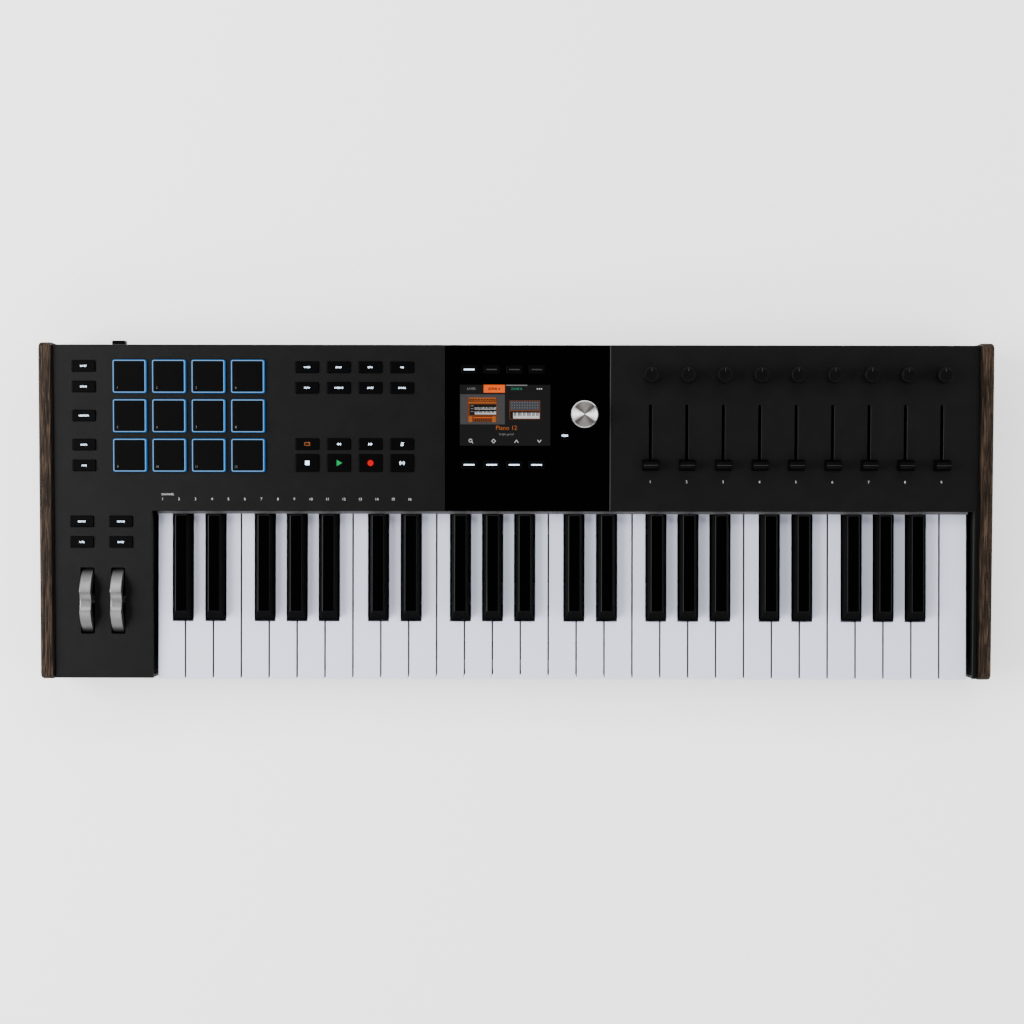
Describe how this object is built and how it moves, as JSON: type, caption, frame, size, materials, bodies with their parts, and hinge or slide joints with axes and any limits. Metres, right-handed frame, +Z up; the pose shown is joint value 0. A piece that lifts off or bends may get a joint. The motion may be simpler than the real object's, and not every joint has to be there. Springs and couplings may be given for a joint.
{
  "type": "midi keyboard",
  "caption": "Flat keyboard controller with a row of piano keys, drum pads, knobs, faders, two wheels, a small display and wooden end cheeks; it plays and controls music software.",
  "frame": {"origin": "centre of the outline, on the surface the feet stand on", "axes": "+X along the keys to the right, +Y away from the player, +Z up"},
  "size_m": [0.8, 0.2854, 0.0759],
  "materials": {
    "panel_plastic": "fine matte texture",
    "gloss_black": "polished",
    "display_glass": "glossy cover glass",
    "tray_plastic": "matte texture",
    "walnut": "oiled dark walnut",
    "key_white": "semi-gloss",
    "key_black": "gloss",
    "knob_plastic": "satin",
    "spun_aluminium": "spun and brushed",
    "wheel_silver": "satin",
    "pad_silicone": "matte with a translucent rim",
    "button_plastic": "satin",
    "sheet_steel": "zinc plated",
    "rod_steel": "ground",
    "spring_steel": "plain",
    "felt": "grey lavender felt",
    "board_green": "solder mask",
    "part_black": "moulded",
    "part_metal": "plated",
    "foot_rubber": "matte",
    "screw_steel": "black zinc"
  },
  "bodies": {
    "case": {"top_panel": "panel_plastic", "display_fascia": "gloss_black", "lcd_module": "display_glass", "bottom_tray": "tray_plastic", "left_end_cheek": "walnut", "right_end_cheek": "walnut", "keybed_frame": "sheet_steel", "key_pivot_rod": "rod_steel", "key_felts": "felt", "key_springs": "spring_steel", "key_contact_board": "board_green", "main_board": "board_green", "control_boards": "board_green", "slide_pots": "part_metal", "encoder_bodies": "part_metal", "wheel_cradle": "part_black", "data_sockets": "part_black", "pedal_jacks": "part_black", "rubber_feet": "foot_rubber", "case_screws": "screw_steel"},
    "white_keys_c": {"white_keys_c": "key_white"},
    "white_keys_d": {"white_keys_d": "key_white"},
    "white_keys_e": {"white_keys_e": "key_white"},
    "white_keys_f": {"white_keys_f": "key_white"},
    "white_keys_g": {"white_keys_g": "key_white"},
    "white_keys_a": {"white_keys_a": "key_white"},
    "white_keys_b": {"white_keys_b": "key_white"},
    "black_keys_cs": {"black_keys_cs": "key_black"},
    "black_keys_ds": {"black_keys_ds": "key_black"},
    "black_keys_fs": {"black_keys_fs": "key_black"},
    "black_keys_gs": {"black_keys_gs": "key_black"},
    "black_keys_as": {"black_keys_as": "key_black"},
    "encoder_knob_1": {"encoder_knob_1": "knob_plastic"},
    "encoder_knob_2": {"encoder_knob_2": "knob_plastic"},
    "encoder_knob_3": {"encoder_knob_3": "knob_plastic"},
    "encoder_knob_4": {"encoder_knob_4": "knob_plastic"},
    "encoder_knob_5": {"encoder_knob_5": "knob_plastic"},
    "encoder_knob_6": {"encoder_knob_6": "knob_plastic"},
    "encoder_knob_7": {"encoder_knob_7": "knob_plastic"},
    "encoder_knob_8": {"encoder_knob_8": "knob_plastic"},
    "encoder_knob_9": {"encoder_knob_9": "knob_plastic"},
    "fader_1": {"fader_1": "knob_plastic"},
    "fader_2": {"fader_2": "knob_plastic"},
    "fader_3": {"fader_3": "knob_plastic"},
    "fader_4": {"fader_4": "knob_plastic"},
    "fader_5": {"fader_5": "knob_plastic"},
    "fader_6": {"fader_6": "knob_plastic"},
    "fader_7": {"fader_7": "knob_plastic"},
    "fader_8": {"fader_8": "knob_plastic"},
    "fader_9": {"fader_9": "knob_plastic"},
    "main_knob_spindle": {"main_knob_spindle": "part_metal"},
    "main_knob": {"main_knob": "spun_aluminium"},
    "pitch_wheel": {"pitch_wheel": "wheel_silver"},
    "mod_wheel": {"mod_wheel": "wheel_silver"},
    "power_button": {"power_button": "button_plastic"},
    "pads": {"pads": "pad_silicone"},
    "side_buttons": {"side_buttons": "button_plastic"},
    "mode_buttons": {"mode_buttons": "button_plastic"},
    "transport_buttons": {"transport_buttons": "button_plastic"},
    "display_buttons": {"display_buttons": "button_plastic"}
  },
  "joints": [
    {"name": "white_keys_c_press", "type": "hinge", "parent": "case", "child": "white_keys_c", "pos_m": [0, 0.0473, 0.034], "axis": [1, 0, 0], "range_deg": [0, 3], "stiffness_Nm_per_rad": 5, "springref_deg": -6.88, "deforming": ["key_springs"]},
    {"name": "white_keys_d_press", "type": "hinge", "parent": "case", "child": "white_keys_d", "pos_m": [0, 0.0473, 0.034], "axis": [1, 0, 0], "range_deg": [0, 3], "stiffness_Nm_per_rad": 4, "springref_deg": -6.88},
    {"name": "white_keys_e_press", "type": "hinge", "parent": "case", "child": "white_keys_e", "pos_m": [0, 0.0473, 0.034], "axis": [1, 0, 0], "range_deg": [0, 3], "stiffness_Nm_per_rad": 4, "springref_deg": -6.88},
    {"name": "white_keys_f_press", "type": "hinge", "parent": "case", "child": "white_keys_f", "pos_m": [0, 0.0473, 0.034], "axis": [1, 0, 0], "range_deg": [0, 3], "stiffness_Nm_per_rad": 4, "springref_deg": -6.88},
    {"name": "white_keys_g_press", "type": "hinge", "parent": "case", "child": "white_keys_g", "pos_m": [0, 0.0473, 0.034], "axis": [1, 0, 0], "range_deg": [0, 3], "stiffness_Nm_per_rad": 4, "springref_deg": -6.88},
    {"name": "white_keys_a_press", "type": "hinge", "parent": "case", "child": "white_keys_a", "pos_m": [0, 0.0473, 0.034], "axis": [1, 0, 0], "range_deg": [0, 3], "stiffness_Nm_per_rad": 4, "springref_deg": -6.88},
    {"name": "white_keys_b_press", "type": "hinge", "parent": "case", "child": "white_keys_b", "pos_m": [0, 0.0473, 0.034], "axis": [1, 0, 0], "range_deg": [0, 3], "stiffness_Nm_per_rad": 4, "springref_deg": -6.88},
    {"name": "black_keys_cs_press", "type": "hinge", "parent": "case", "child": "black_keys_cs", "pos_m": [0, 0.0473, 0.034], "axis": [1, 0, 0], "range_deg": [0, 3], "stiffness_Nm_per_rad": 4, "springref_deg": -6.88},
    {"name": "black_keys_ds_press", "type": "hinge", "parent": "case", "child": "black_keys_ds", "pos_m": [0, 0.0473, 0.034], "axis": [1, 0, 0], "range_deg": [0, 3], "stiffness_Nm_per_rad": 4, "springref_deg": -6.88},
    {"name": "black_keys_fs_press", "type": "hinge", "parent": "case", "child": "black_keys_fs", "pos_m": [0, 0.0473, 0.034], "axis": [1, 0, 0], "range_deg": [0, 3], "stiffness_Nm_per_rad": 4, "springref_deg": -6.88},
    {"name": "black_keys_gs_press", "type": "hinge", "parent": "case", "child": "black_keys_gs", "pos_m": [0, 0.0473, 0.034], "axis": [1, 0, 0], "range_deg": [0, 3], "stiffness_Nm_per_rad": 4, "springref_deg": -6.88},
    {"name": "black_keys_as_press", "type": "hinge", "parent": "case", "child": "black_keys_as", "pos_m": [0, 0.0473, 0.034], "axis": [1, 0, 0], "range_deg": [0, 3], "stiffness_Nm_per_rad": 4, "springref_deg": -6.88},
    {"name": "encoder_knob_1_spin", "type": "hinge", "parent": "case", "child": "encoder_knob_1", "pos_m": [0.1126, 0.1135, 0.06182], "axis": [0, -0.0424, 0.9991], "continuous": true},
    {"name": "encoder_knob_2_spin", "type": "hinge", "parent": "case", "child": "encoder_knob_2", "pos_m": [0.14315, 0.1135, 0.06182], "axis": [0, -0.0424, 0.9991], "continuous": true},
    {"name": "encoder_knob_3_spin", "type": "hinge", "parent": "case", "child": "encoder_knob_3", "pos_m": [0.1737, 0.1135, 0.06182], "axis": [0, -0.0424, 0.9991], "continuous": true},
    {"name": "encoder_knob_4_spin", "type": "hinge", "parent": "case", "child": "encoder_knob_4", "pos_m": [0.20425, 0.1135, 0.06182], "axis": [0, -0.0424, 0.9991], "continuous": true},
    {"name": "encoder_knob_5_spin", "type": "hinge", "parent": "case", "child": "encoder_knob_5", "pos_m": [0.2348, 0.1135, 0.06182], "axis": [0, -0.0424, 0.9991], "continuous": true},
    {"name": "encoder_knob_6_spin", "type": "hinge", "parent": "case", "child": "encoder_knob_6", "pos_m": [0.26535, 0.1135, 0.06182], "axis": [0, -0.0424, 0.9991], "continuous": true},
    {"name": "encoder_knob_7_spin", "type": "hinge", "parent": "case", "child": "encoder_knob_7", "pos_m": [0.2959, 0.1135, 0.06182], "axis": [0, -0.0424, 0.9991], "continuous": true},
    {"name": "encoder_knob_8_spin", "type": "hinge", "parent": "case", "child": "encoder_knob_8", "pos_m": [0.32645, 0.1135, 0.06182], "axis": [0, -0.0424, 0.9991], "continuous": true},
    {"name": "encoder_knob_9_spin", "type": "hinge", "parent": "case", "child": "encoder_knob_9", "pos_m": [0.357, 0.1135, 0.06182], "axis": [0, -0.0424, 0.9991], "continuous": true},
    {"name": "fader_1_travel", "type": "slide", "parent": "case", "child": "fader_1", "axis": [0, 0.9991, 0.0424], "range_m": [0, 0.0475]},
    {"name": "fader_2_travel", "type": "slide", "parent": "case", "child": "fader_2", "axis": [0, 0.9991, 0.0424], "range_m": [0, 0.0475]},
    {"name": "fader_3_travel", "type": "slide", "parent": "case", "child": "fader_3", "axis": [0, 0.9991, 0.0424], "range_m": [0, 0.0475]},
    {"name": "fader_4_travel", "type": "slide", "parent": "case", "child": "fader_4", "axis": [0, 0.9991, 0.0424], "range_m": [0, 0.0475]},
    {"name": "fader_5_travel", "type": "slide", "parent": "case", "child": "fader_5", "axis": [0, 0.9991, 0.0424], "range_m": [0, 0.0475]},
    {"name": "fader_6_travel", "type": "slide", "parent": "case", "child": "fader_6", "axis": [0, 0.9991, 0.0424], "range_m": [0, 0.0475]},
    {"name": "fader_7_travel", "type": "slide", "parent": "case", "child": "fader_7", "axis": [0, 0.9991, 0.0424], "range_m": [0, 0.0475]},
    {"name": "fader_8_travel", "type": "slide", "parent": "case", "child": "fader_8", "axis": [0, 0.9991, 0.0424], "range_m": [0, 0.0475]},
    {"name": "fader_9_travel", "type": "slide", "parent": "case", "child": "fader_9", "axis": [0, 0.9991, 0.0424], "range_m": [0, 0.0475]},
    {"name": "main_knob_push", "type": "slide", "parent": "case", "child": "main_knob_spindle", "axis": [0, 0.0424, -0.9991], "range_m": [0, 0.0005], "stiffness_N_per_m": 4000, "springref_m": -0.0005},
    {"name": "main_knob_spin", "type": "hinge", "parent": "main_knob_spindle", "child": "main_knob", "pos_m": [0.0569, 0.08083, 0.06043], "axis": [0, -0.0424, 0.9991], "continuous": true},
    {"name": "pitch_wheel_bend", "type": "hinge", "parent": "case", "child": "pitch_wheel", "pos_m": [-0.3605, -0.07561, 0.03678], "axis": [1, 0, 0], "range_deg": [-35, 35], "stiffness_Nm_per_rad": 0.06},
    {"name": "mod_wheel_turn", "type": "hinge", "parent": "case", "child": "mod_wheel", "pos_m": [-0.3348, -0.07561, 0.03678], "axis": [1, 0, 0], "range_deg": [-35, 35]},
    {"name": "power_button_press", "type": "slide", "parent": "case", "child": "power_button", "axis": [0, -1, 0], "range_m": [0, 0.002], "stiffness_N_per_m": 800, "springref_m": -0.001},
    {"name": "pads_press", "type": "slide", "parent": "case", "child": "pads", "axis": [0, 0.0424, -0.9991], "range_m": [0, 0.0008], "stiffness_N_per_m": 6000, "springref_m": -0.001},
    {"name": "side_buttons_press", "type": "slide", "parent": "case", "child": "side_buttons", "axis": [0, 0.0424, -0.9991], "range_m": [0, 0.001], "stiffness_N_per_m": 2500, "springref_m": -0.001},
    {"name": "mode_buttons_press", "type": "slide", "parent": "case", "child": "mode_buttons", "axis": [0, 0.0424, -0.9991], "range_m": [0, 0.001], "stiffness_N_per_m": 2500, "springref_m": -0.001},
    {"name": "transport_buttons_press", "type": "slide", "parent": "case", "child": "transport_buttons", "axis": [0, 0.0424, -0.9991], "range_m": [0, 0.001], "stiffness_N_per_m": 2500, "springref_m": -0.001},
    {"name": "display_buttons_press", "type": "slide", "parent": "case", "child": "display_buttons", "axis": [0, 0.0424, -0.9991], "range_m": [0, 0.0008], "stiffness_N_per_m": 2500, "springref_m": -0.001}
  ]
}
